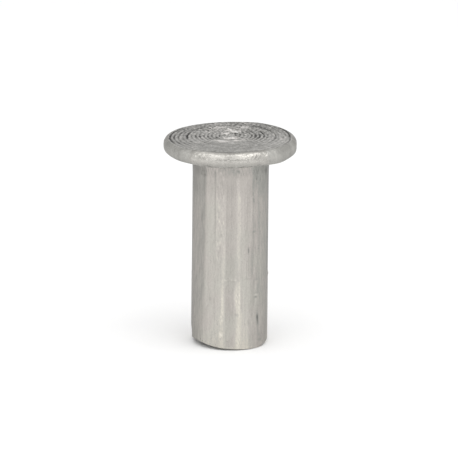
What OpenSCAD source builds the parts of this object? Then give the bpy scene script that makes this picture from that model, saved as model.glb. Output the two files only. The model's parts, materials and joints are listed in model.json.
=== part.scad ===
// Semi-tubular flat-head rivet for brake linings, cold headed from aluminium wire.
// Millimetres. It stands on its free end: the shank's axis is Z, with z = 0 at the end face.
// The whole rivet is one forming, so it is one revolved profile with its cuts.

/* [Shank] */
// Diameter of the shank
shank_d = 3.9; // [2.5:0.1:5.4]
// Length of the shank under the head
shank_len = 10; // [7:0.5:24]
// Fillet where the shank runs into the head
neck_r = 0.1; // [0.04:0.02:0.3]

/* [Head] */
// Diameter of the head
head_d = 6.8; // [5.4:0.1:12]
// Thickness of the head
head_t = 0.75; // [0.6:0.01:1.6]
// Rounding of the rim towards the top face
rim_top_r = 0.25; // [0.05:0.01:0.3]
// Rounding of the rim towards the seat
rim_seat_r = 0.34; // [0.05:0.01:0.34]

/* [Turned rings on the top face] */
// Distance from one ring to the next
ring_pitch = 0.205; // [0.16:0.005:0.5]
// Width of a ring's groove at the top face
ring_w = 0.13; // [0.05:0.01:0.14]
// Depth of a ring's groove
ring_depth = 0.035; // [0.01:0.005:0.1]

/* [Setting hole] */
// Wall left between the hole and the outside of the shank
tube_wall = 0.6; // [0.45:0.05:0.8]
// Depth of the hole's straight wall, from the end face
hole_depth = 3.7; // [1.5:0.1:4.5]
// Included angle of the cone at the hole's bottom
hole_tip_deg = 120; // [90:1:150]
// Lead-in at the hole's mouth
mouth_chamfer = 0.08; // [0.02:0.01:0.15]

/* [Free end] */
// Rounding of the outer edge of the end
end_r = 0.26; // [0.05:0.01:0.28]

/* [Hidden] */
$fn = 96;

shank_r = shank_d / 2;
head_r = head_d / 2;
top_z = shank_len + head_t;
hole_r = shank_r - tube_wall;
hole_tip = hole_r / tan(hole_tip_deg / 2);
face_r = head_r - rim_top_r;
ring_count = floor((face_r - ring_w / 2) / ring_pitch + 0.5);
over = 0.5; // how far a cut runs past the face that it opens

// A rectangle from the axis outwards to r, between two heights.
module slab(r, z_low, z_high) {
    translate([0, z_low]) square([r, z_high - z_low]);
}

// What a rounded corner takes away. The corner's tip is at the origin and the body
// lies towards -x and +z, or towards -x and -z with up = true.
module corner_cut(r, up = false) {
    mirror([0, up ? 1 : 0]) difference() {
        translate([-r, -over]) square([r + over, r + over]);
        translate([-r, r]) circle(r);
    }
}

// What a concave fillet adds in the angle between the shank and the seat.
module neck_fillet() {
    translate([shank_r, shank_len]) difference() {
        translate([-over, -neck_r]) square([over + neck_r, neck_r + head_t / 2]);
        translate([neck_r, -neck_r]) circle(neck_r);
    }
}

module head_profile() {
    difference() {
        slab(head_r, shank_len, top_z);
        translate([head_r, top_z]) corner_cut(rim_top_r, up = true);
        translate([head_r, shank_len]) corner_cut(rim_seat_r);
    }
}

module shank_profile() {
    difference() {
        slab(shank_r, 0, shank_len + head_t / 2);
        translate([shank_r, 0]) corner_cut(end_r);
    }
}

// V grooves, as the turned face of the heading punch leaves them in the head.
module ring_cuts() {
    for (i = [0 : ring_count - 1]) {
        translate([(i + 0.5) * ring_pitch, top_z]) {
            polygon([[-ring_w / 2, 0], [0, -ring_depth], [ring_w / 2, 0]]);
            translate([-ring_w / 2, 0]) square([ring_w, over]);
        }
    }
}

// The blind hole that is rolled over when the rivet is set.
module hole_cut() {
    polygon([
        [0, -over],
        [hole_r + mouth_chamfer + over, -over],
        [hole_r, mouth_chamfer],
        [hole_r, hole_depth],
        [0, hole_depth + hole_tip]
    ]);
}

module rivet() {
    color([0.74, 0.73, 0.70]) rotate_extrude() difference() {
        union() {
            head_profile();
            shank_profile();
            neck_fillet();
        }
        ring_cuts();
        hole_cut();
    }
}

rivet();
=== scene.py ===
import json
from math import cos, radians, sin

import bpy
import numpy as np
from mathutils import Matrix, Vector


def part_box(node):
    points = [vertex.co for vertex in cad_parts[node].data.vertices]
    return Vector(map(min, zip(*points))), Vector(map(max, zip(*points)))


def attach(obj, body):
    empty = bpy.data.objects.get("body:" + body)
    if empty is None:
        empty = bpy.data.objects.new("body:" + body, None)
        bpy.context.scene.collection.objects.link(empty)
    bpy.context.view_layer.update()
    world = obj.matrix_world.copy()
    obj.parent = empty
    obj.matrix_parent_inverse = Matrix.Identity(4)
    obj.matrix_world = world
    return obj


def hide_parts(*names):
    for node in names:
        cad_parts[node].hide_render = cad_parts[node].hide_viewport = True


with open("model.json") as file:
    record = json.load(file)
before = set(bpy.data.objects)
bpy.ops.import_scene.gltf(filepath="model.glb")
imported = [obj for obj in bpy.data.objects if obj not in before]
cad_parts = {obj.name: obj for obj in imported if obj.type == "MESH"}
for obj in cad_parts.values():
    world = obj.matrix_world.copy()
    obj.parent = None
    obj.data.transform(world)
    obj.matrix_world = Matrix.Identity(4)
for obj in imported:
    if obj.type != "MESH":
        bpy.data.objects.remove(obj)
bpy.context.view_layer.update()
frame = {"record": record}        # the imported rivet, a fixed frame in metres

# Sizes below are in millimetres, as a rivet maker has them. Azimuths are in degrees, from the front (-Y)
# towards the right (+X). The rivet stands on its free end at z = 0, with its head up.
mm = 0.001
mounts = {mount["name"]: mount for mount in frame["record"]["mounts"]}
low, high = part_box("rivet")
headR = (high.x - low.x) / 2 / mm
topZ = high.z / mm
seatZ = mounts["head_seat"]["pos_m"][2] / mm
shankR = mounts["shank"]["dims"]["r_mm"]
holeR = mounts["setting_hole"]["dims"]["r_mm"]
holeLength = mounts["setting_hole"]["dims"]["length_mm"]
print("frame read: head", round(2 * headR, 2), "shank", round(2 * shankR, 2), "height", round(topZ, 2))

view = {
    "elevation": 15.5,       # degrees above the horizon
    "distance": 700,         # from the middle of the rivet
    "across": 23.44,         # width that the picture takes in at that distance
    "roll": 0.56,            # degrees that the rivet leans to the right in the picture
    "aside": -0.06,          # where the picture's centre lies, from the axis at half height
    "above": 0.53,
}


def addObject(name, data):
    # a new object of the scene
    thing = bpy.data.objects.new(name, data)
    bpy.context.scene.collection.objects.link(thing)
    return thing


def makeCamera(view):
    # the camera's place is centre + distance * (0, -cos e, sin e), and it looks back along that line
    e = radians(view["elevation"])
    back = Vector((0, -cos(e), sin(e)))
    up = Vector((0, sin(e), cos(e)))
    centre = Vector((0, 0, topZ / 2)) + up * view["above"] + Vector((view["aside"], 0, 0))
    camera = addObject("pictureCamera", bpy.data.cameras.new("pictureCamera"))
    camera.data.sensor_width = 36
    camera.data.lens = camera.data.sensor_width * view["distance"] / view["across"]
    turn = (-back).to_track_quat("-Z", "Y").to_matrix() @ Matrix.Rotation(radians(view["roll"]), 3, "Z")
    camera.matrix_world = Matrix.Translation((centre + back * view["distance"]) * mm) @ turn.to_4x4()
    camera.data.clip_start = 0.01
    camera.data.clip_end = 10
    bpy.context.scene.camera = camera


makeCamera(view)
print("camera set")


class Wire:
    # One output socket of a material. Python operators on wires add Math nodes.
    def __init__(self, tree, socket=None):
        self.tree = tree
        self.socket = socket

    def make(self, kind, settings=None, inputs=None, output=0):
        # adds a node: its settings first, then the values or wires of its sockets
        node = self.tree.nodes.new(kind)
        for name, value in (settings or {}).items():
            setattr(node, name, value)
        self.fill(node, inputs or {})
        return Wire(self.tree, node.outputs[output])

    def fill(self, node, inputs):
        # gives sockets of a node their values or wires
        for name, value in inputs.items():
            if isinstance(value, Wire):
                self.tree.links.new(value.socket, node.inputs[name])
            else:
                node.inputs[name].default_value = value

    def maths(self, operation, first, second):
        return self.make("ShaderNodeMath", {"operation": operation}, {0: first, 1: second})

    def __add__(self, other):
        return self.maths("ADD", self, other)

    def __rsub__(self, other):
        return self.maths("SUBTRACT", other, self)

    def __mul__(self, other):
        return self.maths("MULTIPLY", self, other)

    __radd__ = __add__
    __rmul__ = __mul__

    def between(self, start, end):
        # 0 below start, 1 above end, smooth between
        return self.make("ShaderNodeMapRange", {"interpolation_type": "SMOOTHSTEP"},
                         {"Value": self, "From Min": start, "From Max": end})


form = {
    "around": 400,           # points round the axis
    "rimTop": 0.26,          # rounding from the face into the rim
    "rimTopFront": 0.40,     # the same at the front, where the head is upset fuller
    "rimSeat": 0.34,         # rounding from the rim into the seat
    "neck": 0.10,            # fillet under the head
    "end": 0.26,             # rounding of the free end
    "endFront": 0.035,       # the same at the front and left, where it is cut sharper
    # where those two fronts are: azimuth, degrees to each side, and degrees to where they end
    "frontHead": (-1.5, 36, 50),
    "frontEnd": (-30, 75, 105),
    "endRows": 8,            # rows of points over that rounding
    "mouth": 0.08,           # lead-in of the setting hole
    "holeTip": 120,          # its cone, degrees
    "ringPitch": 0.205,      # turned rings on the face
    "ringWidth": 0.13,
    "ringDepth": 0.035,
    "rings": 24,             # more than the face has
    "ringCuts": (0.45, 0.95),      # least and greatest share of that depth
    "ringLands": (0.80, 1.20),     # darkest and brightest metal between them
    "ringFront": 0.45,       # what the rings lose in depth at the front
    "ringBack": 0.35,        # what they gain at the back
    "ringRight": 0.30,       # and lose at the far right
    "ringUneven": 0.20,      # how uneven the depth is along a ring
    "ringWobble": 0.013,     # how far a ring wanders in and out
    "ringTremble": 0.006,    # the same, in short waves
    "ringAside": 0.12,       # how far the innermost ring lies to the right of the head's centre
    "faceRows": 95,          # rows of points from the face's centre to its edge
    "threeSided": 0.010,     # how far the head's outline leaves a circle, as a share of its radius
    "outlineWaves": 0.003,   # the same, in small waves
    "rimHammer": 0.0030,     # dents of the rim's skin
    "headAside": -0.075,     # how far the head sits off the shank's axis
    "crown": 0.14,           # rise of the face's middle over its edge
    "faceTilt": 0.009,       # rise of the face towards the right, mm per mm
    "backLift": 0.05,        # how far the head's back right stands up
    "backDrop": 0.03,        # and how far the rest of its back lies low
    "pipAside": 0.36,        # the pip that turning leaves, to the right of the head's centre
    "pipR": 0.27,
    "pipHeight": 0.05,
    "torn": 0.0085,          # how rough the metal round the pip is torn
    "tornWide": 0.0055,      # and the back half of the face
    # places round the rivet: (amount, azimuth, half width in degrees)
    "fuller": (0.05, 55, 30),      # the rim is fuller underneath
    "lower": (0.05, 52, 17),       # and lies lower
    "lowerFront": (0.045, -1, 18),
    "burr": (0.022, 86, 9),        # a small burr on the shank's ring
    "bruise": (0.045, -85, 32),    # the free end is knocked in
    "endLift": (0.14, -56, 31),    # and up
    "flare": 0.020,          # how much the shank widens under the head
    "lineZ": 3.72,           # where the hole's forming ends: a faint ring round the shank
    "lineWander": 0.03,      # how far that ring wanders up and down
    "lineStep": 0.006,       # how far the shank stands prouder below it
    "endTilt": -0.045,       # the free end is cut askew: it drops towards the right
    "seed": 7,
    # where the turned rings are cut deepest: (ring, azimuth, half width in degrees, change of depth)
    "deepCuts": [
        (15, 268, 20, 0.9), (15, 95, 24, 1), (14, 268, 14, 0.5), (14, 215, 24, 0.6), (14, 2, 26, 0.9),
        (13, 265, 12, 0.3), (13, 160, 20, 0.5), (12, 205, 20, 0.4), (11, 268, 18, 1), (11, 118, 36, 1),
        (9, 262, 10, 0.3), (8, 268, 8, 0.3), (8, 95, 15, 0.5), (7, 84, 24, 1), (7, 268, 10, 0.6),
        (6, 270, 12, 0.5), (6, 100, 25, 0.5), (5, 95, 40, 0.9), (5, 270, 10, 0.6), (4, 300, 22, 0.8),
        (3, 285, 20, 0.5), (2, 100, 40, 0.4), (9, 330, 20, 0.4), (10, 35, 22, 0.4),
    ],
    # pressed lines across the rim: (azimuth, width in degrees, depth, change of tone); the change is painted
    # shade in the crease
    "creases": [
        (-50.5, 1.4, 0.012, -0.12), (-37, 1.6, 0.01, -0.1), (25.5, 1.2, 0.006, -0.08),
        (33.5, 1, 0.006, -0.07), (67, 3, 0.008, -0.07), (-71, 2.5, 0.006, -0.05), (88, 1.5, 0.01, -0.1),
        (104, 1.2, 0.006, -0.07), (139, 1.6, 0.01, -0.1), (158, 1.2, 0.008, -0.08), (183, 2, 0.006, -0.06),
        (207, 1.4, 0.012, -0.12), (231, 1.2, 0.006, -0.08), (262, 1.6, 0.01, -0.1),
    ],
}


def turnedBy(turn, azimuth):
    # degrees from an azimuth, between -180 and 180
    return (np.degrees(turn) - azimuth + 180) % 360 - 180


def smooth(x, start, end):
    # 0 below start, 1 above end, and 3t^2 - 2t^3 between
    t = np.clip((x - start) / (end - start), 0, 1)
    return t * t * (3 - 2 * t)


def bell(x, centre, half):
    # exp(-((x - centre) / half)^2)
    return np.exp(-((x - centre) / half) ** 2)


def near(turn, azimuth, half):
    # the same bell round the axis, with half in degrees
    return bell(turnedBy(turn, azimuth), 0, half)


def swell(turn, amount, azimuth, half):
    # amount times that bell
    return amount * near(turn, azimuth, half)


def beside(turn, azimuth, full, none):
    # 1 up to full degrees from an azimuth, 0 past none degrees, smooth between
    return 1 - smooth(np.abs(turnedBy(turn, azimuth)), full, none)


def waveSum(first, second, firstRates, secondRates, phases):
    # the sum of cos(a * first + b * second + phase) over all waves, with a spread of about 1
    total = np.zeros(np.broadcast(first, second).shape)
    for a, b, phase in zip(firstRates, secondRates, phases):
        total = total + np.cos(a * first + b * second + phase)
    return total / np.sqrt(len(phases) / 2)


def ripple(turn, along, count, waves, lengths, seed):
    # a sum of cosines with random whole numbers of waves round the axis and random lengths along it
    draw = np.random.default_rng(seed)
    number = draw.integers(waves[0], waves[1] + 1, count)
    pitch = 2 * np.pi / draw.uniform(lengths[0], lengths[1], count) * draw.choice([-1, 1], count)
    return waveSum(turn, along, number, pitch, draw.uniform(0, 2 * np.pi, count))


def mottle(x, y, count, lengths, seed):
    # a sum of waves that run in random directions over the face, with random lengths
    draw = np.random.default_rng(seed)
    way = draw.uniform(0, 2 * np.pi, count)
    rate = 2 * np.pi / draw.uniform(lengths[0], lengths[1], count)
    return waveSum(x, y, rate * np.cos(way), rate * np.sin(way), draw.uniform(0, 2 * np.pi, count))


def arc(centreR, centreZ, radius, start, end, points):
    # points on a circle of the profile, centre + radius * (cos a, sin a), without its first point
    a = np.radians(np.linspace(start, end, points + 1)[1:])
    return np.column_stack([centreR + radius * np.cos(a), centreZ + radius * np.sin(a)])


def line(start, end, points):
    # points from start to end, without start
    t = np.linspace(0, 1, points + 1)[1:, None]
    return np.array(start) * (1 - t) + np.array(end) * t


def rivetProfile(form, top, end):
    # points (radius, height) from the face's centre, over the rim, down the shank and up into the hole
    seat, neck, mouth, lineZ = form["rimSeat"], form["neck"], form["mouth"], form["lineZ"]
    holeTop = mouth + holeLength
    tipZ = holeTop + holeR / np.tan(radians(form["holeTip"] / 2))
    rows = [
        ("face", line((0, topZ), (headR - top, topZ), form["faceRows"])),
        ("rim", arc(headR - top, topZ - top, top, 90, 0, 10)),
        ("rim", line((headR, topZ - top), (headR, seatZ + seat), 3)),
        ("rim", arc(headR - seat, seatZ + seat, seat, 0, -90, 9)),
        ("seat", line((headR - seat, seatZ), (shankR + neck, seatZ), 5)),
        ("shank", arc(shankR + neck, seatZ - neck, neck, 90, 180, 4)),
        ("shank", line((shankR, seatZ - neck), (shankR, lineZ + 0.25), 58)),
        ("shank", line((shankR, lineZ + 0.25), (shankR, lineZ - 0.25), 10)),
        ("shank", line((shankR, lineZ - 0.25), (shankR, end), 33)),
        ("end", arc(shankR - end, end, end, 0, -90, form["endRows"])),
        ("end", line((shankR - end, 0), (holeR + mouth, 0), 3)),
        ("end", line((holeR + mouth, 0), (holeR, mouth), 2)),
        ("hole", line((holeR, mouth), (holeR, holeTop), 4)),
        ("hole", line((holeR, holeTop), (0, tipZ), 3)),
    ]
    zones = np.concatenate([[name] * len(points) for name, points in rows])
    points = np.concatenate([points for name, points in rows])
    return points[:-1], zones[:-1], tipZ


def headedForm(form, zone, turn, r, z):
    # r * (1 - c sin 3t + small waves) out to the rim, plus the rim's dents, less its creases, plus what it is
    # fuller underneath; z less what the rim lies lower
    outward = np.where(zone["head"], np.where(zone["seat"], smooth(r, shankR, headR), r / headR), 0)
    waves = form["outlineWaves"] * ripple(turn, 0, 12, (4, 14), (5, 9), form["seed"])
    r = r * (1 + outward * (waves - form["threeSided"] * np.sin(3 * turn)))
    dents = form["rimHammer"] * ripple(turn, z, 70, (12, 110), (0.15, 0.7), form["seed"] + 3)
    dents = dents * (0.55 + 0.45 * smooth(z, seatZ + 0.34, seatZ + 0.46))
    creased = sum(depth * near(turn, azimuth, width) for azimuth, width, depth, change in form["creases"])
    r = r + np.where(zone["rim"] & (z > seatZ + 0.2), dents - creased, 0)
    r = r + np.where(zone["rim"], swell(turn, *form["fuller"]) * bell(z, seatZ + 0.12, 0.14), 0)
    lower = swell(turn, *form["lower"]) + swell(turn, *form["lowerFront"])
    lower = lower * smooth(r, shankR + 0.2, headR - 0.6) * (1 - smooth(z, seatZ + 0.1, seatZ + 0.5))
    return r, z - np.where(zone["rim"] | zone["seat"], lower, 0)


def drawnForm(form, zone, turn, r, z):
    # r plus the flare under the head, the step and the burr of the shank's ring, less the bruise at the foot
    stepZ = form["lineZ"] + form["lineWander"] * ripple(turn, 0, 6, (1, 5), (5, 9), form["seed"] + 6)
    flare = form["flare"] * smooth(z, seatZ - 1.2, seatZ - 0.2)
    step = form["lineStep"] * (1 - smooth(z, stepZ - 0.03, stepZ + 0.03))
    burr = swell(turn, *form["burr"]) * bell(z, form["lineZ"] - 0.08, 0.09)
    bruise = swell(turn, *form["bruise"]) * (1 - smooth(z, 0.1, 1.0))
    outside = zone["shank"] | (zone["end"] & (r > shankR - form["end"] + 0.01))
    return r + np.where(outside, flare + step + burr - bruise, 0)


def ringSide(form, x, y):
    # x from the centre of the turned rings, which lies further right the nearer the ring is to the middle
    return x - form["ringAside"] * (1 - (np.hypot(x, y) / headR) ** 3)


def turnedRings(form, x, y):
    # V grooves one pitch apart, on circles that mottle bends; their depth is random for each ring, changed at
    # the front, back and right and in deepCuts, and uneven along it. Returns the grooves, the random tone of
    # the land inside each, and 1 inside the rim's rounding
    ringX = ringSide(form, x, y)
    wobble = form["ringWobble"] * mottle(ringX, -y, 30, (0.9, 3), form["seed"] + 1)
    tremble = form["ringTremble"] * mottle(ringX, -y, 50, (0.25, 0.7), form["seed"] + 4)
    tremble = tremble * (1 + 1.5 * bell(ringX, 1.2, 0.5) * bell(y, 0, 0.9))
    ringR = np.hypot(ringX, y) + wobble + tremble
    ringTurn = np.arctan2(ringX, -y)
    across = np.abs((ringR / form["ringPitch"]) % 1 - 0.5) * 2     # 1 on a groove's line, 0 between two
    share = form["ringWidth"] / form["ringPitch"]
    groove = np.clip((across - 1 + share) / share, 0, 1)
    faceR = headR - form["rimTop"]
    inside = 1 - smooth(ringR, faceR - 0.04, faceR + 0.04)
    last = form["rings"] - 1
    cuts = np.random.default_rng(form["seed"] + 5).uniform(*form["ringCuts"], form["rings"])
    lands = np.random.default_rng(form["seed"] + 7).uniform(*form["ringLands"], form["rings"])
    number = np.clip(np.rint(ringR / form["ringPitch"]), 0, last).astype(int)
    depth = cuts[number]
    depth = depth * (1 - form["ringFront"] * smooth(-y, 0.6, 1.6) + form["ringBack"] * smooth(y, 0.8, 2.0))
    for ring, azimuth, half, change in form["deepCuts"]:
        depth = depth + (number == ring) * change * near(ringTurn, azimuth, half)
    uneven = mottle(ringX, -y, 50, (0.3, 2), form["seed"] + 2)
    uneven = uneven + mottle(ringX, -y, 70, (0.12, 0.5), form["seed"] + 8)
    depth = depth * (0.80 + form["ringUneven"] * uneven)
    depth = depth * (1 - form["ringRight"] * smooth(ringR, 1.5, 2.1) * smooth(ringX, 1.0, 1.8))
    land = lands[np.clip((ringR / form["ringPitch"]).astype(int), 0, last)]
    return groove * inside * np.clip(depth, 0.10, 1.8), land, inside


def rivetSurface(form):
    # (r sin t, -r cos t, z) for the profile's rows and the turns t round the axis, then moved by what headed,
    # drawn, turned and cut metal shows
    points, zones, tipZ = rivetProfile(form, form["rimTop"], form["end"])
    frontPoints = rivetProfile(form, form["rimTopFront"], form["endFront"])[0]
    zone = {name: (zones == name)[:, None] for name in ("face", "rim", "seat", "shank", "end", "hole")}
    zone["head"] = zone["face"] | zone["rim"] | zone["seat"]
    turn = np.arange(form["around"])[None, :] * 2 * np.pi / form["around"]
    front = np.where(zone["head"], beside(turn, *form["frontHead"]), beside(turn, *form["frontEnd"]))
    r = points[:, :1] * (1 - front) + frontPoints[:, :1] * front
    z = points[:, 1:] * (1 - front) + frontPoints[:, 1:] * front
    r, z = headedForm(form, zone, turn, r, z)
    r = drawnForm(form, zone, turn, r, z)
    fromAxis = r * np.sin(turn)
    y = -r * np.cos(turn)
    groove, land, inside = turnedRings(form, fromAxis, y)
    groove = np.where(zone["face"], groove, 0)
    z = z - groove * form["ringDepth"]
    aside = np.where(zone["head"], np.where(zone["seat"], smooth(r, shankR, headR), 1), 0)
    x = fromAxis + aside * form["headAside"]

    # the head's tilt and crown, the pip and the torn metal round it
    rise = form["faceTilt"] * x + form["backLift"] * smooth(x, -1.2, 1.8) * smooth(y, -0.5, 2.6)
    rise = rise - form["backDrop"] * smooth(y, 1.0, 2.8) * (1 - smooth(x, 0.4, 1.6))
    rise = rise * smooth(z, seatZ, topZ)
    crown = form["crown"] * np.clip(1 - (r / headR) ** 2, 0, 1)
    toPip = np.hypot(fromAxis - form["pipAside"], y)
    pip = form["pipHeight"] * (1 - smooth(toPip, 0.04, form["pipR"] + 0.04))
    z = z + np.where(zone["face"] | zone["rim"], rise + crown, 0) + np.where(zone["face"], pip, 0)
    toTorn = np.hypot((fromAxis - 0.20) / 0.75, (0.05 - y) / 0.95)
    torn = form["torn"] * (1 - smooth(toTorn, 0.6, 1.1)) + form["tornWide"] * smooth(y, -0.5, 0.6) * inside
    torn = torn * mottle(fromAxis, -y, 90, (0.15, 0.40), form["seed"] + 9)
    z = z + np.where(zone["face"], torn, 0)

    # the free end's cut
    cut = form["endTilt"] * (x - shankR + form["end"]) + swell(turn, *form["endLift"])
    z = z + np.where(zone["hole"], 0, cut) * (1 - smooth(z, 0.2, 1.2))
    return x, y, z, groove, land, zones, tipZ


def closeSurface(name, x, y, z, topPoint, tipPoint):
    # quads between neighbouring rows, and a fan of triangles at each end of the profile
    rows, around = x.shape
    grid = np.arange(rows * around).reshape(rows, around)
    after = np.roll(grid, -1, 1)
    quads = np.stack([grid[:-1], grid[1:], after[1:], after[:-1]], -1).reshape(-1, 4)
    topFan = np.stack([np.full(around, rows * around), grid[0], after[0]], -1)
    tipFan = np.stack([np.full(around, rows * around + 1), after[-1], grid[-1]], -1)
    corners = np.stack([x, y, z], -1).reshape(-1, 3)
    corners = np.concatenate([corners, [topPoint, tipPoint]]) * mm
    mesh = bpy.data.meshes.new(name)
    mesh.from_pydata(corners.tolist(), [], quads.tolist() + topFan.tolist() + tipFan.tolist())
    mesh.polygons.foreach_set("use_smooth", np.ones(len(mesh.polygons), bool))
    mesh.update()
    return addObject(name, mesh)


def addField(piece, name, values, ends):
    # one number for each point, the two fan points last
    attribute = piece.data.attributes.new(name, "FLOAT", "POINT")
    attribute.data.foreach_set("value", np.append(values.reshape(-1), ends).astype(np.float32))


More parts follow.
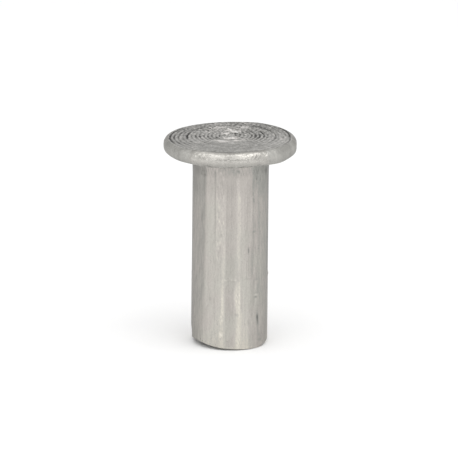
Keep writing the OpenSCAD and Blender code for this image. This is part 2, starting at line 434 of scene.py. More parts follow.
drawn = {
    # the shank is lighter on three flats; the darker tone between them is a painted reflection, repeated
    # round it
    "flatCentre": -4.2,      # where the first lies, degrees
    "flat": 34.2,            # half a flat
    "flatSoft": 7,           # and the width of its soft edge
    "flatLean": 0.45,        # degrees that its edges drift in a millimetre
    "flatWander": 0.45,      # and wander
    "between": -0.27,        # what the metal between them loses in tone: a painted darker reflection
    "dullPatches": 0.024,    # tone of the patches there
    # bands along it: thin lines that the drawing die left, and broader painted reflections, light and dark:
    # azimuth, half width and softness in degrees, heights of the lower and upper end, and the change of tone
    # at each
    "bands": [
        (-42, 3, 3, 0, 3, 0.04, 0), (-23.4, 0.9, 0.8, 5, 9.5, -0.03, -0.22),
        (-22.8, 0.5, 0.7, 0, 5, -0.03, -0.04), (-14, 6.5, 2, 0, 8.2, 0.02, 0.05),
        (1, 7, 1.8, 0, 10, -0.05, -0.06), (0, 4.5, 3, 0, 8.8, -0.05, -0.05),
        (33, 4, 3, 3.8, 9, -0.05, -0.05), (24, 5, 3, 3.9, 8.2, -0.03, -0.03),
        (26, 4, 3, 5, 8.6, -0.03, -0.05), (-68, 8, 6, 8, 10, -0.11, -0.13),
        (-63, 6, 6, 2.2, 3.6, -0.04, -0.04), (-48, 4, 5, -0.4, 3.2, 0.06, 0.02),
        (-58, 5, 5, -0.4, 1, 0.06, 0.02), (83, 6, 6, 3.8, 10, -0.1, -0.12),
        (-40.5, 1.5, 2, 0.8, 9.7, -0.05, -0.07), (-50, 4, 4, 0, 0.5, 0.08, 0.04),
        (-40, 3, 3, 0.4, 2.4, -0.05, -0.05), (-17, 3, 2, 3.7, 5.4, -0.05, -0.04),
        (78, 4, 4, 0.4, 6.8, -0.07, -0.06), (19, 2.5, 3, 0, 10, 0.02, 0.02),
        (36.2, 1, 1.2, 6, 9.5, -0.02, -0.07), (39.5, 4.8, 2.5, 0, 8.6, 0.12, 0.1),
        (49, 4, 5, 0, 8.2, 0.05, 0.03), (64, 10, 6, 0, 8.2, 0.04, 0.06),
        (-45.5, 2.5, 1.5, 3, 9, -0.03, -0.03),
        # the lower third, below the forming line
        (10.4, 3, 2.2, 0.2, 2.95, 0.02, 0.04), (18.5, 2, 2, 0.2, 2.2, 0.07, 0.04),
        (29, 6, 4, -0.4, 2.4, 0.12, 0), (18.4, 0.4, 0.6, 2.1, 3.4, -0.06, -0.07),
        (20.9, 1, 0.5, 2.3, 3.3, 0.05, 0.04),
        # the short die lines above it
        (17, 0.4, 0.6, 3.8, 5.7, -0.07, -0.05), (20.4, 1.1, 0.6, 3.8, 5.6, 0.03, 0.03),
        (25.6, 0.4, 0.6, 3.8, 4.7, -0.06, -0.04), (29.3, 0.4, 0.6, 3.8, 5.6, -0.09, -0.08),
        (31.8, 0.7, 0.6, 3.8, 5.7, 0.02, 0.02), (36.4, 1.5, 0.7, 3.8, 5.9, -0.05, -0.08),
        (40.2, 1.6, 0.7, 3.8, 4.3, 0.05, 0.05), (44.8, 0.5, 0.7, 3.65, 4.6, -0.1, -0.06),
        # the other two flats
        (85, 1.5, 1, 3.8, 9.5, -0.04, -0.1), (97, 0.7, 1, 5, 9.6, -0.04, -0.12),
        (121, 4.5, 2.5, 0, 10, -0.08, -0.09), (140, 0.4, 0.6, 3.8, 6.6, -0.08, -0.06),
        (147, 1, 0.8, 4.1, 10, -0.08, -0.12), (152, 0.5, 0.6, 3.8, 7, -0.07, -0.05),
        (206, 0.6, 0.8, 4.4, 9.6, -0.06, -0.12), (211, 0.5, 0.7, 0, 5.4, -0.05, -0.07),
        (236, 5.5, 2.2, 0, 10, -0.06, -0.08), (262, 0.5, 0.7, 3.8, 8.2, -0.09, -0.08),
        (271, 1.3, 0.9, 3.8, 9.5, -0.06, -0.12), (295, 5, 5, 0, 10, 0.03, 0.03),
    ],
    # painted highlights along the first flat, which wander and swell: (height, azimuth, half width in
    # degrees, change of tone); the other flats have them too: (degrees further round, 1 or -1 for mirrored)
    "gleams": [
        [(0.2, -11.5, 3, 0.05), (0.55, -12.2, 2.6, 0.12), (0.8, -12.8, 2.8, 0.25), (1.05, -12.6, 2.4, 0.13),
         (1.3, -12, 2.6, 0.07), (1.6, -12.2, 2.6, 0.16), (1.85, -11.3, 2.2, 0.19), (2.1, -10.6, 1.9, 0.22),
         (2.7, -11, 1.7, 0.26), (3.1, -11, 1.6, 0.21), (3.5, -10.6, 1.3, 0.11), (3.8, -10, 1.2, 0.08),
         (4.3, -10.3, 2, 0.09), (5, -10, 1.8, 0.06), (6.2, -10.6, 1.6, 0.03), (6.6, -10.6, 1.6, 0)],
        [(0.15, 13.4, 3.2, 0.16), (0.5, 13.5, 3.2, 0.22), (0.9, 13.8, 3, 0.19), (1.4, 13.4, 3, 0.17),
         (1.7, 13.8, 2.8, 0.15), (2, 13.6, 2.8, 0.2), (2.3, 12.6, 3.8, 0.22), (2.6, 11.8, 4.6, 0.23),
         (3, 11.2, 4.8, 0.22), (3.3, 12, 4, 0.19), (3.6, 13.6, 2.6, 0.11), (3.75, 15.2, 1.1, 0.05),
         (4.5, 14.4, 1.5, 0.08), (5, 13, 2.4, 0.12), (5.4, 12.8, 2.8, 0.1), (5.9, 13.2, 2.4, 0.09),
         (6.3, 14, 1.9, 0.13), (6.8, 13.8, 2.2, 0.12), (7.3, 13.6, 2.2, 0.09), (7.7, 13.2, 1.7, 0.13),
         (8, 13.5, 1.6, 0.2), (8.3, 12.8, 1.6, 0.17), (8.6, 12, 2, 0.1), (8.9, 11.2, 2.2, 0.12),
         (9.2, 11.2, 1.6, 0)],
        [(1.7, 15.2, 0.5, 0.08), (2.3, 15.1, 0.7, 0.11), (3.4, 14.8, 0.7, 0.1), (3.65, 14.9, 0.5, 0)],
        [(5, -21.4, 0.5, 0.02), (6.6, -21.3, 0.6, 0.05), (8.3, -21.6, 0.6, 0.06), (9.4, -20.6, 0.5, 0.08)],
    ],
    "gleamCopies": [(0, 1), (121, -1), (239, 1)],
    "flecks": 0.30,          # how speckled the painted gleams are
    "streaks": 0.020,        # tone of the fine drawn lines
    "clouds": 0.010,         # tone of long pale and dull patches
    "specks": 0.024,
    "pecks": 0.060,          # tone of the pecked skin in each flat
    "pecked": [(-14.5, 6.5, 4.8), (106, 6, 3.9), (227, 7, 5.2)],     # azimuth, half width, lowest height
    "grime": 0.5,            # how uneven the painted shade under the head is
    "headDull": 0.09,        # what the tone loses towards the head
    "neckGrime": 0.11,       # and in the painted shade under it
    "neckGlow": 0.25,        # what the fillet gains: painted light against its shade
    "footGlow": 0.05,        # and the lowest third: painted light
    "footEdge": 0.12,        # and the rounding of the free end: painted light
    "footDark": 0.35,        # what that loses where the end is knocked up: painted shade
    "soleGlow": 0.30,        # and its lowest edge gains elsewhere: painted light
    "hole": 0.8,             # tone inside the hole
    # short marks: (azimuth, height, width, length, change of tone), millimetres
    "marks": [
        (42.5, 9.02, 0.13, 0.12, -0.4), (47, 9.04, 0.16, 0.08, -0.2), (50.5, 8.92, 0.16, 0.1, -0.16),
        (45.5, 8.74, 0.2, 0.08, -0.14), (43, 8.9, 0.6, 0.9, 0.09), (48, 8.6, 0.07, 0.16, 0.1),
        (36.2, 8.24, 0.08, 0.16, -0.22), (37.2, 7.9, 0.08, 0.28, -0.2), (39.5, 6.29, 0.18, 0.06, 0.22),
        (38.5, 6.21, 0.2, 0.06, -0.16), (29, 5.28, 0.09, 0.24, -0.4), (42.6, 2.86, 0.2, 0.06, 0.26),
        (43.2, 2.76, 0.16, 0.08, -0.45), (46.4, 1.66, 0.15, 0.34, -0.26), (47, 1.44, 0.12, 0.34, -0.18),
        (45.4, 1.52, 0.14, 0.44, -0.12), (48.6, 1.34, 0.07, 0.22, -0.22), (44.9, 1.5, 0.06, 0.2, 0.12),
        (-31, 2.66, 0.12, 0.14, -0.2), (-24.6, 2.6, 0.05, 0.3, -0.14), (29.5, 1.45, 0.1, 0.3, -0.18),
        # the light and dark dashes at the forming line, near 3.7, are painted glint and shade
        (-12, 7, 0.07, 0.1, -0.15), (-6.4, 3.74, 0.13, 0.07, 0.3), (3, 3.76, 0.09, 0.07, 0.2),
        (8.3, 3.74, 0.13, 0.07, 0.3), (-1, 3.68, 0.22, 0.07, -0.09), (6.5, 3.66, 0.2, 0.07, -0.12),
        (28, 3.76, 0.34, 0.06, -0.14), (44, 3.66, 0.28, 0.08, -0.14), (11.5, 1.88, 0.16, 0.07, -0.16),
        (-10.5, 2.05, 0.1, 0.12, 0.12), (-11.5, 1.62, 0.14, 0.08, 0.12), (-13, 0.86, 0.16, 0.14, 0.3),
        (-11.5, 1.54, 0.2, 0.1, 0.1), (-11, 2.65, 0.08, 0.3, 0.08), (-59, 0.27, 0.35, 0.09, -0.55),
        (-44, 0.24, 0.22, 0.07, -0.45), (-33, 0.17, 0.2, 0.06, -0.3), (52, 0.42, 0.3, 0.14, -0.22),
        (-49, 9.22, 0.18, 0.12, -0.3), (-41, 9.16, 0.18, 0.1, -0.28), (-44, 9.42, 0.3, 0.16, -0.14),
        (-55, 9.15, 0.14, 0.3, -0.1), (-52, 8.8, 0.5, 0.6, 0.05), (4.5, 9.56, 0.18, 0.1, -0.26),
        (11.5, 9.48, 0.14, 0.12, -0.42), (-8, 9.58, 0.14, 0.08, -0.22), (-20.5, 9.48, 0.06, 0.24, 0.15),
        (-14.6, 9.4, 0.1, 0.07, 0.18), (-12, 9.42, 0.06, 0.07, 0.15), (67, 9.25, 0.22, 0.35, -0.35),
        (-12.5, 5.95, 0.1, 0.1, 0.16), (-13.5, 6.1, 0.08, 0.08, -0.16), (-16, 6.25, 0.1, 0.1, 0.14),
        (-18, 8.65, 0.12, 0.35, -0.14), (-12.5, 8.85, 0.14, 0.25, -0.12), (-15.5, 8.5, 0.1, 0.12, 0.1),
        (47.6, 1.62, 0.07, 0.2, -0.2), (46, 1.7, 0.09, 0.1, -0.16), (49.5, 0.8, 0.12, 0.45, -0.14),
        (53, 0.66, 0.2, 0.1, -0.16), (11, 9.42, 0.2, 0.06, -0.2), (33, 3.02, 0.12, 0.05, 0.1),
        (47, 2.95, 0.24, 0.05, -0.12), (50, 3.12, 0.3, 0.05, 0.08), (10.5, 1.9, 0.26, 0.05, -0.12),
        (-30.5, 2.72, 0.2, 0.05, -0.12), (-70, 4.1, 0.1, 0.3, -0.12), (-66, 2.2, 0.12, 0.25, -0.16),
        (-72, 7.9, 0.2, 0.5, -0.08), (124, 6.4, 0.08, 0.3, -0.34), (151, 2.1, 0.1, 0.2, -0.34),
        (201, 8.3, 0.09, 0.24, -0.28), (228, 4.6, 0.1, 0.1, 0.2), (243, 1.2, 0.1, 0.4, -0.4),
        (282, 5.7, 0.08, 0.3, -0.28), (115, 3.74, 0.16, 0.07, 0.25), (127, 3.75, 0.12, 0.07, 0.22),
        (150, 3.74, 0.3, 0.07, -0.14), (232, 3.74, 0.16, 0.07, 0.25), (256, 3.73, 0.3, 0.07, -0.14),
        (241, 3.76, 0.1, 0.07, 0.2),
    ],
}


def flatness(turn, half, soft, centre):
    # 1 on three flats at centre, centre + 120 and centre + 240 degrees, 0 between them
    off = np.abs((np.degrees(turn) - centre + 60) % 120 - 60)
    return 1 - smooth(off, half, half + soft)


def gleam(turn, z, path, shift, flip):
    # a painted highlight: the change of tone along a path up the shank, strongest in its middle
    heights, azimuths, halves, changes = np.array(path).T
    off = np.abs(turnedBy(turn, shift + flip * np.interp(z, heights, azimuths)))
    half = np.interp(z, heights, halves)
    inside = (z > heights[0] - 0.1) & (z < heights[-1])
    return inside * np.interp(z, heights, changes) * (1 - smooth(off, 0.4 * half, 0.5 + 1.5 * half))


def band(turn, z, azimuth, half, soft, bottom, top, changeBottom, changeTop):
    # the change of tone along one of the bands, die lines and painted reflections alike: in a straight line
    # from its lower to its upper end, fading at both, a little uneven, and wandering round the shank
    seed = int(10 * azimuth) + 4000
    off = np.abs(turnedBy(turn, azimuth + 0.25 * ripple(0, z, 3, (1, 1), (2, 9), seed)))
    fade = 0.13 + 0.06 * half
    change = np.interp(z, (bottom, top), (changeBottom, changeTop))
    change = change * smooth(z, bottom - fade / 2, bottom + fade)
    change = change * (1 - smooth(z, top - fade, top + fade / 2))
    change = change * (1 + 0.16 * ripple(0, z, 6, (1, 1), (0.5, 4), seed + 1))
    return change * (1 - smooth(off, half, half + soft))


def shankTone(drawn, turn, z):
    # 1, plus the painted darker reflection between the flats, the painted gleams, the bands (die lines and
    # painted reflections), the drawn lines, the pecks and the marks, times the changes towards the head and
    # the foot, mostly painted shade and light
    edge = drawn["flatCentre"] + drawn["flatLean"] * (z - seatZ / 2)
    edge = edge + drawn["flatWander"] * ripple(0, z, 7, (1, 1), (0.8, 8), 21)
    # between the flats the tone is painted darker, standing in for a darker reflection
    betweenFlats = 1 - flatness(turn, drawn["flat"], drawn["flatSoft"], edge)
    tone = 1 + betweenFlats * (drawn["between"] + drawn["dullPatches"] * ripple(turn, z, 70, (4, 60), (0.5, 3.0), 16))
    # painted highlights along each flat, speckled
    flecked = 1 + drawn["flecks"] * ripple(turn, z, 70, (20, 130), (0.1, 0.5), 17)
    for path in drawn["gleams"]:
        for shift, flip in drawn["gleamCopies"]:
            tone = tone + gleam(turn, z, path, shift, flip) * flecked
    # die lines and painted reflections, band by band
    for row in drawn["bands"]:
        tone = tone + band(turn, z, *row)
    tone = tone + drawn["streaks"] * ripple(turn, z, 60, (30, 150), (3, 30), 11)
    tone = tone + drawn["clouds"] * ripple(turn, z, 50, (6, 36), (0.8, 5), 14)
    tone = tone + drawn["specks"] * ripple(turn, z, 90, (20, 160), (0.2, 1.2), 12)
    pecks = ripple(turn, z, 150, (10, 90), (0.16, 1.2), 15)
    pecks = drawn["pecks"] * (pecks + 0.35 * (pecks * pecks - 1))
    for azimuth, half, lowest in drawn["pecked"]:
        tone = tone + pecks * beside(turn, azimuth, half - 2, half) * smooth(z, lowest - 0.4, lowest + 0.4)
    for azimuth, height, width, length, change in drawn["marks"]:
        off = np.radians(turnedBy(turn, azimuth)) * shankR
        tone = tone + change * bell(off, 0, width / 2) * bell(z, height, length / 2)
    grime = np.clip(1 + drawn["grime"] * ripple(turn, z, 60, (15, 100), (0.1, 0.8), 13), 0, 2)
    tone = tone * (1 - drawn["headDull"] * smooth(z, 7.7, 8.8))
    # painted shade under the head, made uneven
    tone = tone * (1 - drawn["neckGrime"] * smooth(z, 9.0, 9.4) * grime)
    # painted light on the fillet under the head
    tone = tone * (1 + drawn["neckGlow"] * smooth(z, seatZ - 0.2, seatZ - 0.08))
    # painted light towards the foot, and painted shade where the end is knocked up
    for start, end in ((0.8, 2.6), (0.0, 0.9)):
        tone = tone * (1 + drawn["footGlow"] * (1 - smooth(z, start, end)))
    foot = (drawn["footEdge"] - drawn["footDark"] * near(turn, -54, 20)) * (1 - smooth(z, 0.02, 0.24))
    sole = drawn["soleGlow"] * (1 - near(turn, -60, 25)) * (1 - smooth(z, 0.01, 0.07))
    return np.clip(tone, 0.3, 1.6) * (1 + foot + sole)


rolled = {
    # the head's rim is burnished on three flats as well
    "tone": 0.97,
    "flatCentre": -1.5,
    "flat": 35,
    "flatSoft": 3,
    "between": -0.06,        # what the metal between them loses in tone
    "streaks": 0.025,        # tone of lines down the rim
    "specks": 0.04,          # tone of the specks on its upper rounding
    "frontLow": 0.10,        # what the front flat gains below its upper rounding: painted light
    "edge": -0.06,           # change of tone at the face's edge: painted highlight and shade
    "edgeFront": 0.04,       # what is added to it along the front flat
    "edgeMiddle": 0.24,      # and in that flat's middle
    "under": 0.20,           # painted shade: what the tone loses towards the seat
    "underMiddle": 0.12,     # more of it in the front flat's middle
    "faceSide": 0.25,        # painted shade: what the front flat loses inside the face's edge
    "seatSide": 0.45,        # painted light: what the rim gains at the seat
    "seat": 0.82,            # painted shade: what is left of the tone under the head
    # a lighter stripe down the rim, and a darker one low on it: (change of tone, azimuth, half width)
    "stripe": (0.10, 43, 5),
    "lowDull": (-0.05, 0, 4),
    # bright and dark places on the upper rounding, at the front painted highlight and shade: (azimuth, half
    # width in degrees, change of tone)
    "patches": [
        (-30, 2.5, -0.02), (-18.5, 4, 0.08), (-11, 2, 0.02), (-1, 4.5, -0.2), (6, 2.5, -0.1),
        (13.5, 3, 0.06), (19, 2.5, 0.12), (25, 2, 0.02), (31, 3, 0.05), (37, 2.5, -0.04), (70, 6, 0.1),
        (98, 5, 0.22), (115, 3, -0.2), (128, 5, 0.22), (150, 4, 0.12), (190, 8, 0.1), (214, 4, 0.25),
        (229, 4, -0.18), (241, 5, 0.28), (258, 3, 0.12), (284, 6, -0.08),
    ],
    # painted highlight and reflection along the front flat: (depth below the top, half height, change of
    # tone, the same in its middle)
    "lines": [(0.20, 0.09, 0.24, -0.36), (0.37, 0.06, 0.0, 0.09)],
    # painted glints and painted shade there: (azimuth, depth below the top, half width in degrees, half
    # height, change)
    "glints": [
        (0, 0.12, 6, 0.035, -0.22), (6, 0.1, 3, 0.03, -0.2), (-6, 0.095, 3, 0.035, -0.16),
        (0, 0.22, 6, 0.06, 0.17), (6, 0.27, 3, 0.04, 0.05), (12.5, 0.2, 4, 0.035, 0.38),
        (12, 0.125, 3, 0.035, -0.2), (19, 0.185, 3, 0.035, 0.22), (-12, 0.055, 3, 0.03, 0.24),
        (-18, 0.04, 4, 0.04, 0.18), (-25, 0.02, 3.5, 0.03, 0.4), (-24, 0.08, 3, 0.04, -0.1),
        (-31, 0.05, 4, 0.05, 0.28), (31, 0.12, 3.5, 0.12, 0.22), (0, 0.03, 6, 0.03, 0.16),
        (18, 0.025, 3, 0.03, 0.48), (24, 0.03, 2.5, 0.035, 0.5), (24.5, 0.115, 3, 0.035, -0.18),
        (18, 0.1, 3, 0.03, -0.14), (6, 0.35, 3, 0.06, 0.1), (6, 0.025, 3, 0.025, 0.12),
        (-6, 0.29, 3, 0.04, 0.06), (-30, 0.29, 5, 0.06, 0.08),
    ],
    # the front flat's painted highlight and shade: its change of tone at depths below the top
    "frontDepths": (0.24, 0.31, 0.37, 0.44, 0.54, 0.64, 0.72),
    "frontChanges": (0, 0.11, 0.05, -0.13, -0.13, 0, 0.10),
}


def rimTone(rolled, turn, r, z):
    # a plain tone, less between the flats, plus the creases' painted shade, streaks, patches and stripes;
    # plus the front flat's painted highlight lines and glints, times its painted changes with depth; then
    # painted shade at the edge and underneath, painted light at the seat
    below = topZ - z
    upper = 1 - smooth(below, 0.26, 0.40)
    front = beside(turn, rolled["flatCentre"], 34, 50)
    middle = beside(turn, rolled["flatCentre"], 20, 34)
    flats = flatness(turn, rolled["flat"], rolled["flatSoft"], rolled["flatCentre"])
    tone = rolled["tone"] + rolled["between"] * (1 - flats)
    # painted shade along the creases
    for azimuth, width, depth, change in form["creases"]:
        tone = tone + change * near(turn, azimuth, width)
    tone = tone + rolled["streaks"] * ripple(turn, z, 50, (20, 140), (0.5, 4), 31)
    for azimuth, half, change in rolled["patches"]:
        tone = tone + change * upper * near(turn, azimuth, half)
    tone = tone + swell(turn, *rolled["stripe"])
    for depth, half, change, middleChange in rolled["lines"]:
        tone = tone + (change * front + middleChange * middle) * bell(below, depth, half)
    tone = tone * (1 + rolled["frontLow"] * front * smooth(below, 0.24, 0.36))
    tone = tone + swell(turn, *rolled["lowDull"]) * smooth(below, 0.3, 0.5)
    edge = rolled["edge"] + rolled["edgeFront"] * front + rolled["edgeMiddle"] * middle
    tone = tone * (1 + edge * (1 - smooth(below, 0.08, 0.20)))
    for azimuth, depth, half, tall, change in rolled["glints"]:
        tone = tone + change * near(turn, azimuth, half) * bell(below, depth, tall)
    tone = tone + rolled["specks"] * upper * ripple(turn, z, 90, (60, 180), (0.06, 0.25), 33)
    tone = tone * (1 + front * np.interp(below, rolled["frontDepths"], rolled["frontChanges"]))
    # painted shade towards the seat and inside the face's edge, painted light at the seat
    under = rolled["under"] + rolled["underMiddle"] * middle
    tone = tone * (1 - under * (1 - smooth(z, seatZ - 0.02, seatZ + 0.38)))
    tone = tone * (1 - rolled["faceSide"] * front * (1 - smooth(r, headR - 0.38, headR - 0.26)))
    return tone * (1 + rolled["seatSide"] * (1 - smooth(z, seatZ, seatZ + 0.11)))


turned = {
    "land": 1.22,            # tone between the rings
    "grime": 0.90,           # painted shade: what it loses in a groove of full depth
    "clouds": 0.06,          # tone of the cloudy patches
    "strokes": 0.07,         # tone of the short strokes that turning leaves
    "strokesRough": 0.13,    # more of them where the face is rough
    "strokesBack": 0.07,     # and at its back
    "front": 0.07,           # what the tone loses at the front
    "frontEdge": 0.12,       # and again near the edge
    "backSides": 0.14,       # at both sides of the back
    "pip": 0.16,             # and on the pip
    "right": 0.05,           # what it gains at the front right
    # bright places, mostly painted highlights, and dark places: (right, back, half length, half depth, change
    # of tone)
    "marks": [
        (-0.1, 1.1, 0.2, 0.25, 0.25), (0.1, -0.75, 0.45, 0.3, 0.18), (-0.15, 0.2, 0.2, 0.3, 0.2),
        (0.3, 2.3, 0.06, 0.1, 0.4), (-0.1, 2.45, 0.06, 0.1, 0.35), (-2.7, -0.9, 0.3, 0.35, -0.16),
        (-2.3, -1.3, 0.25, 0.2, -0.1), (1.5, -1.57, 0.12, 0.14, -0.2), (-1.3, -1.6, 0.3, 0.14, -0.12),
        (0.9, -1.5, 0.35, 0.12, 0.14), (-1.15, -1.95, 0.45, 0.12, 0.1), (-0.3, -1.95, 0.4, 0.14, -0.12),
        (0.1, -2.4, 0.7, 0.14, -0.12), (2.6, -0.6, 0.25, 0.4, 0.1), (0.05, 2.75, 0.35, 0.15, -0.15),
    ],
    # light stretches along the rings, painted glints, and dark ones, painted shade: (radius, half width,
    # azimuth, half length in degrees, change)
    "arcs": [
        # round the pip
        (0.36, 0.07, 170, 20, -0.7), (0.43, 0.08, 145, 16, -0.9), (0.47, 0.08, 122, 14, -1),
        (0.46, 0.07, 104, 10, -0.6), (0.17, 0.06, 183, 30, -0.3), (0.77, 0.08, 134, 12, -1),
        (0.68, 0.09, 56, 7, -0.75), (0.76, 0.06, 93, 5, -0.7), (0.43, 0.06, 269, 8, -0.6),
        (0.6, 0.07, 270, 7, -0.55), (0.89, 0.08, 335, 12, -0.5), (0.81, 0.08, 1, 14, -0.6),
        (0.86, 0.07, 27, 10, -0.5), (0.42, 0.14, 219, 18, 1.1), (0.63, 0.13, 331, 12, 1.3),
        (0.42, 0.13, 348, 16, 1.2), (0.54, 0.13, 8, 16, 1.2), (1.09, 0.12, 341, 9, 1.2),
        (1.16, 0.11, 327, 9, 1.05), (1, 0.11, 15, 10, 1.05), (1.26, 0.08, 314, 7, 0.55),
        (0.96, 0.1, 39, 7, 0.45), (1.42, 0.09, 1, 5, 0.5), (1.34, 0.1, 338, 7, 0.45),
        (0.88, 0.07, 301, 9, -0.6), (1.27, 0.06, 297, 4, -0.4), (0.58, 0.07, 272, 7, -0.4),
        (1.03, 0.06, 271, 4, -0.3),
        # right
        (1.17, 0.08, 133, 9, -0.5), (0.98, 0.07, 110, 11, -0.55), (0.95, 0.07, 84, 8, -0.4),
        (1.26, 0.08, 120, 9, -0.7), (1.21, 0.08, 96, 11, -0.85), (1.17, 0.07, 82, 7, -0.5),
        (1.57, 0.08, 122, 9, -0.6), (1.45, 0.09, 97, 12, -0.9), (1.39, 0.08, 75, 8, -0.7),
        (1.7, 0.07, 111, 7, -0.55), (1.66, 0.07, 90, 6, -0.65), (1.39, 0.1, 139, 7, -0.75),
        (1.79, 0.05, 112, 6, -0.4), (1.88, 0.06, 97, 6, -0.6), (1.82, 0.05, 84, 4, -0.4),
        (2.31, 0.06, 83, 3, -0.7), (2.04, 0.05, 83, 3, -0.4), (2.17, 0.05, 115, 7, -0.5),
        (2.12, 0.05, 95, 8, -0.25), (2.75, 0.05, 114, 6, -0.3), (2.83, 0.05, 102, 6, -0.45),
        (2.72, 0.04, 90, 4, -0.3), (3.11, 0.07, 120, 7, -0.5), (3.13, 0.07, 113, 6, -0.6),
        (3.07, 0.07, 101, 6, -0.7), (3, 0.06, 92, 4, -0.6), (2.23, 0.03, 94, 10, 0.3),
        (2.01, 0.03, 93, 10, 0.25),
        # back
        (2.03, 0.12, 159, 4, -0.8), (2.12, 0.11, 150, 5, -0.8), (2.23, 0.09, 141, 6, -0.85),
        (2.21, 0.08, 129, 7, -0.95), (2.15, 0.14, 183, 3, -0.6), (2.28, 0.13, 176, 3, -0.65),
        (2.71, 0.14, 173, 2.5, -0.6), (2.85, 0.13, 180, 3, -0.5), (2.64, 0.14, 166, 3, -0.5),
        (2.75, 0.11, 126, 3, -0.55), (2.9, 0.15, 139, 8, -0.4), (1.05, 0.14, 184, 6, 0.6),
        (0.85, 0.17, 176, 10, 1.3), (0.74, 0.15, 160, 9, 1.2), (1.81, 0.14, 161, 2.4, 3.2),
        (1.95, 0.13, 156, 2.2, 2.4), (1.01, 0.15, 190, 7, 0.7), (1.2, 0.14, 185, 5, 0.5),
        (1.74, 0.13, 192, 5, 0.8), (1.78, 0.12, 203, 7, 1), (1.78, 0.11, 216, 7, 0.8),
        (1.99, 0.09, 138, 6, 0.45), (2.25, 0.13, 221, 6, -0.5), (1.86, 0.1, 217, 4, -0.3),
        # left
        (0.9, 0.06, 300, 9, -0.75), (1.03, 0.07, 271, 4, -0.5), (1.27, 0.07, 297, 3, -0.5),
        (1.42, 0.05, 271, 7, -0.6), (1.62, 0.05, 270, 3.5, -0.9), (1.85, 0.05, 271, 7, -0.4),
        (2.05, 0.04, 272, 10, -0.3), (2.2, 0.06, 236, 9, -0.7), (2.21, 0.06, 254, 8, -0.7),
        (2.29, 0.06, 268, 6, -0.8), (2.3, 0.05, 280, 4, -0.5), (2.43, 0.1, 245, 5, -0.3),
        (2.67, 0.1, 242, 6, -0.35), (2.97, 0.08, 237, 5, -0.35), (2.64, 0.06, 253, 6, -0.5),
        (2.73, 0.05, 266, 6, -0.5), (2.94, 0.05, 242, 6, -0.35), (2.88, 0.05, 262, 8, -0.4),
        (2.89, 0.05, 275, 6, -0.5), (3, 0.05, 286, 5, -0.3), (3.06, 0.05, 250, 10, -0.4),
        (3.08, 0.06, 266, 8, -0.5), (3.07, 0.06, 279, 6, -0.7), (2.61, 0.04, 276, 3, 0.25),
        (2.37, 0.05, 258, 4, 0.3), (2.15, 0.05, 273, 4, 0.3),
        # front
        (2.85, 0.1, 294, 4, -0.35), (2.59, 0.12, 299, 5, -0.25), (2.49, 0.1, 283, 4, -0.3),
        (2.34, 0.1, 321, 3, -0.2), (2.53, 0.12, 332, 3, -0.2), (2.16, 0.08, 312, 3, -0.2),
        (2.17, 0.08, 40, 3, -0.35), (2.61, 0.08, 34, 3, -0.3), (1.47, 0.1, 41, 4, -0.2),
        (1.96, 0.08, 54, 3, -0.25),
    ],
}


def faceTone(turned, x, y, groove, land):
    # (land - painted shade * groove^0.8) * the ring's own tone, plus the marks and arcs, partly painted
    # highlights and shade, times the strokes and the slower changes over the face; it is rough behind and
    # smooth in front
    headX = x - form["headAside"]
    ringX = ringSide(form, headX, y)
    ringR = np.hypot(ringX, y)
    ringTurn = np.arctan2(ringX, -y)
    rough = smooth(y, -1.3, 0.2) * (1 - 0.45 * smooth(np.abs(x), 1.5, 2.6))
    # the grooves are painted darker: painted shade
    tone = (turned["land"] - turned["grime"] * groove ** 0.8) * (1 + (land - 1) * (0.35 + 0.65 * rough))
    for right, back, length, deep, change in turned["marks"]:
        tone = tone + change * bell(x, right, length) * bell(y, back, deep)
    for radius, width, azimuth, length, change in turned["arcs"]:
        tone = tone + change * bell(ringR, radius, width) * near(ringTurn, azimuth, length)
    strength = turned["strokes"] + turned["strokesRough"] * rough
    strength = strength + turned["strokesBack"] * smooth(y, 0.7, 1.6)
    tone = tone * (1 + strength * mottle(x, 0.50 * y, 90, (0.08, 0.30), 43))
    tone = tone * (1 - turned["front"] * smooth(-y, 0.9, 1.6))
    tone = tone * (1 - turned["frontEdge"] * smooth(-y, 2.5, 2.9))
    tone = tone * (1 - turned["backSides"] * smooth(y, 0.6, 1.4) * smooth(np.abs(x), 0.7, 1.4))
    tone = tone * (1 + turned["right"] * smooth(x, 0.9, 1.8) * (1 - smooth(y, 0.3, 1.0)))
    tone = tone * (1 - turned["pip"] * (1 - smooth(np.hypot(headX - form["pipAside"], y), 0.12, 0.26)))
    return np.clip(tone * (1 + turned["clouds"] * mottle(x, y, 60, (0.12, 1.0), 42)), 0.15, 2.2)


x, y, z, groove, land, zones, tipZ = rivetSurface(form)
turn = np.arctan2(x, -y)
rivetPiece = closeSurface("rivetMetal", x, y, z, (form["headAside"], 0, topZ), (0, 0, tipZ))
headTone = rimTone(rolled, turn, np.hypot(x - form["headAside"], y), z)
bodyTone = shankTone(drawn, turn, z)
# the seat takes the rim's tone times rolled seat: a painted shade under the head
tones = {"face": faceTone(turned, x, y, groove, land), "rim": headTone, "seat": headTone * rolled["seat"],
         "shank": bodyTone, "end": bodyTone, "hole": drawn["hole"]}
tone = sum(np.where((zones == name)[:, None], tones[name], 0) for name in tones)
burnish = flatness(turn, rolled["flat"] + 0.5, rolled["flatSoft"], rolled["flatCentre"])
addField(rivetPiece, "ringGroove", groove, [0, 0])
addField(rivetPiece, "metalTone", tone, [1.2, drawn["hole"]])
addField(rivetPiece, "burnish", burnish * smooth(z, seatZ + 0.04, seatZ + 0.2), [0, 0])
print("rivet surface:", len(rivetPiece.data.polygons), "faces")

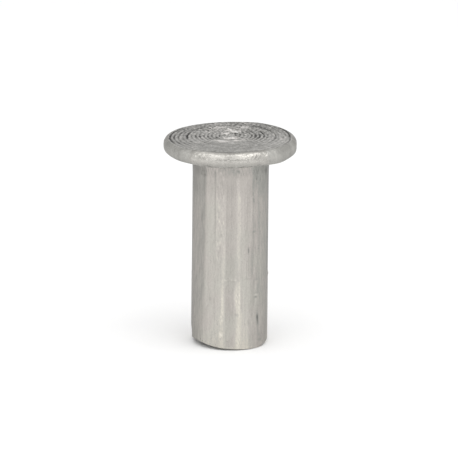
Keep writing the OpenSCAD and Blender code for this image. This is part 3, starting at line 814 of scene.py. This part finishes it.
colours = {
    "dullLeft": (0.497, 0.481, 0.449),      # the shank's painted darker reflection between the flats, at the left and at the right
    "dullRight": (0.486, 0.4825, 0.450),
    "warmLow": (0.499, 0.483, 0.443),       # its two warm greys
    "warmHigh": (0.509, 0.479, 0.447),
    # the yellower hue of the painted highlights
    "gleam": (0.509, 0.486, 0.434),
    "rim": (0.494, 0.486, 0.458),
    "rimBurnished": (0.49, 0.475, 0.443),
    "face": (0.478, 0.468, 0.444),
    # the rosier hue of the brightest face, mostly painted highlights
    "faceRubbed": (0.490, 0.466, 0.447),
    "end": (0.45, 0.44, 0.41),
}


def objectPlace(wire, scale):
    # object coordinates, stretched by scale per millimetre
    place = wire.make("ShaderNodeTexCoord", output="Object")
    return wire.make("ShaderNodeMapping", inputs={"Vector": place, "Scale": [value / mm for value in scale]})


def noise(wire, scale, detail, roughness):
    # smooth noise between 0 and 1, with scale lumps in a millimetre along each axis
    return wire.make("ShaderNodeTexNoise", inputs={
        "Vector": objectPlace(wire, scale), "Scale": 1.0, "Detail": detail, "Roughness": roughness})


def field(wire, name):
    return wire.make("ShaderNodeAttribute", {"attribute_name": name}, output="Fac")


def tinted(wire, colour, tone):
    # a colour times a tone
    return wire.make("ShaderNodeVectorMath", {"operation": "SCALE"}, {0: colour, "Scale": tone})


def mixed(wire, share, first, second):
    # from the first colour to the second by share; either may be a wire
    first, second = [value if isinstance(value, Wire) else (*value, 1) for value in (first, second)]
    return wire.make("ShaderNodeMix", {"data_type": "RGBA"}, {0: share, 6: first, 7: second}, 2)


def bumped(wire, height, distance):
    # a Bump node whose heights are distance millimetres for each unit
    return wire.make("ShaderNodeBump", inputs={"Height": height, "Distance": distance * mm, "Strength": 1.0})


def bareMetal(wire, hue, tone, roughness, height, distance):
    # what a bare metal's sockets get: its colour is hue * tone, and height is a bump of distance millimetres
    return {"Metallic": 1, "Specular Tint": (0.65, 0.65, 0.65, 1), "Base Color": tinted(wire, hue, tone),
            "Roughness": roughness, "Normal": bumped(wire, height, distance)}


def shankMetal(wire):
    # the hue is greyer where the tone is painted darker between the flats, above all at the right, yellower
    # where the highlights are painted, and drifts between two warm greys elsewhere; tone and bump have drawn
    # lines and grain
    lines = noise(wire, (11, 11, 0.4), 3, 0.6)
    grain = noise(wire, (16, 16, 9), 2, 0.6)
    drift = noise(wire, (0.9, 0.9, 0.6), 1, 0.5)
    place = objectPlace(wire, (1 / shankR, 1, 1))
    sideways = wire.make("ShaderNodeSeparateXYZ", inputs={0: place})
    upwards = wire.make("ShaderNodeSeparateXYZ", inputs={0: place}, output=2)
    tone = field(wire, "metalTone") * (0.75 + 0.137 * lines + 0.30 * grain)
    betweenFlats = mixed(wire, sideways.between(-0.9, 0.9), colours["dullLeft"], colours["dullRight"])
    warm = (drift + 0.03 * upwards).between(0.45, 0.75)
    warm = mixed(wire, warm, colours["warmLow"], colours["warmHigh"])
    hue = mixed(wire, tone.between(0.67, 0.785), betweenFlats, warm)
    hue = mixed(wire, tone.between(1.0, 1.2), hue, colours["gleam"])
    return bareMetal(wire, hue, tone, 0.24 + 0.10 * grain, lines + 0.5 * grain, 0.010)


def rimMetal(wire):
    # a pitted, rolled skin, mostly in the bump, and rougher between the burnished flats
    patches = noise(wire, (3.0, 3.0, 4.0), 2, 0.5)
    grain = noise(wire, (9, 9, 9), 3, 0.6)
    burnish = field(wire, "burnish")
    tone = field(wire, "metalTone") * (0.82 + 0.195 * patches + 0.117 * grain)
    hue = mixed(wire, burnish, colours["rim"], colours["rimBurnished"])
    rough = 0.46 - 0.28 * burnish + 0.16 * patches
    return bareMetal(wire, hue, tone, rough, 0.7 * grain + 2.0 * patches, 0.03)


def faceMetal(wire):
    # patches and fine grain, rosier where its tone is brightest, mostly painted highlights; the grooves are
    # rougher
    patches = noise(wire, (1.3, 1.3, 1.3), 3, 0.6)
    grain = noise(wire, (17, 17, 17), 3, 0.6)
    tone = field(wire, "metalTone") * (0.643 + 0.34 * patches + 0.32 * grain)
    hue = mixed(wire, tone.between(1.22, 1.7), colours["face"], colours["faceRubbed"])
    return bareMetal(wire, hue, tone, 0.2 + 0.25 * field(wire, "ringGroove"), grain, 0.01)


def endMetal(wire):
    # grain, and evenly rough, as a sheared end is
    grain = noise(wire, (10, 10, 10), 3, 0.6)
    return bareMetal(wire, colours["end"], 0.8 + 0.4 * grain, 0.38, grain, 0.015)


def makeMaterial(name, look):
    # a material whose main shader gets what look says
    material = bpy.data.materials.new(name)
    material.use_nodes = True
    wire = Wire(material.node_tree)
    wire.fill(material.node_tree.nodes["Principled BSDF"], look(wire))
    return material


metals = {"turnedFace": faceMetal, "rolledRim": rimMetal, "drawnShank": shankMetal, "cutEnd": endMetal}
for name, metal in metals.items():
    rivetPiece.data.materials.append(makeMaterial(name, metal))
slotOf = {"face": 0, "rim": 1, "seat": 1, "shank": 2, "end": 3, "hole": 3}
rowSlot = np.array([slotOf[name] for name in zones])
rowSlot[np.flatnonzero(zones == "end")[:form["endRows"]]] = slotOf["shank"]      # the rounding is drawn skin
faceSlot = np.repeat(rowSlot[1:], form["around"])
fanSlots = np.repeat([slotOf["face"], slotOf["hole"]], form["around"])
faceSlot = np.concatenate([faceSlot, fanSlots]).astype(np.int32)
rivetPiece.data.polygons.foreach_set("material_index", faceSlot)

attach(rivetPiece, "root")
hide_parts("rivet")
print("materials on")

studio = {
    "floor": 600,            # half the floor's width
    "paper": (0.985, 0.985, 0.985, 1),
    "world": 0.845,          # strength of the light all round
    # soft lamps: (name, azimuth, elevation, distance, width, height, brightness)
    "lamps": [("topSoftbox", 0, 59, 150, 220, 205, 0.80), ("rightSoftbox", 60, 66, 150, 70, 70, 0.75)],
}


def palePaper(wire):
    # matt, without any sheen
    return {"Base Color": studio["paper"], "Roughness": 1, "Specular IOR Level": 0}


def makeFloor(size):
    # a square of paper, size to each side
    corners = [(x * size * mm, y * size * mm, 0) for x, y in ((-1, -1), (1, -1), (1, 1), (-1, 1))]
    mesh = bpy.data.meshes.new("floor")
    mesh.from_pydata(corners, [], [(0, 1, 2, 3)])
    floor = addObject("floor", mesh)
    floor.data.materials.append(makeMaterial("palePaper", palePaper))


def makeLamp(name, azimuth, elevation, distance, width, height, brightness):
    # a flat soft lamp that faces the rivet; its power is brightness * pi * area
    a, e = radians(azimuth), radians(elevation)
    outward = Vector((sin(a) * cos(e), -cos(a) * cos(e), sin(e)))
    data = bpy.data.lights.new(name, "AREA")
    data.shape = "RECTANGLE"
    data.size = width * mm
    data.size_y = height * mm
    data.energy = brightness * np.pi * data.size * data.size_y
    lamp = addObject(name, data)
    lamp.matrix_world = (Matrix.Translation((Vector((0, 0, topZ / 2)) + outward * distance) * mm)
                         @ outward.to_track_quat("Z", "Y").to_matrix().to_4x4())


makeFloor(studio["floor"])
for lamp in studio["lamps"]:
    makeLamp(*lamp)
world = bpy.data.worlds.new("studio")
world.use_nodes = True
light = {"Color": (1, 1, 1, 1), "Strength": studio["world"]}
Wire(world.node_tree).fill(world.node_tree.nodes["Background"], light)
bpy.context.scene.world = world
bpy.context.scene.view_settings.view_transform = "Standard"
print("floor, lamps and world set")
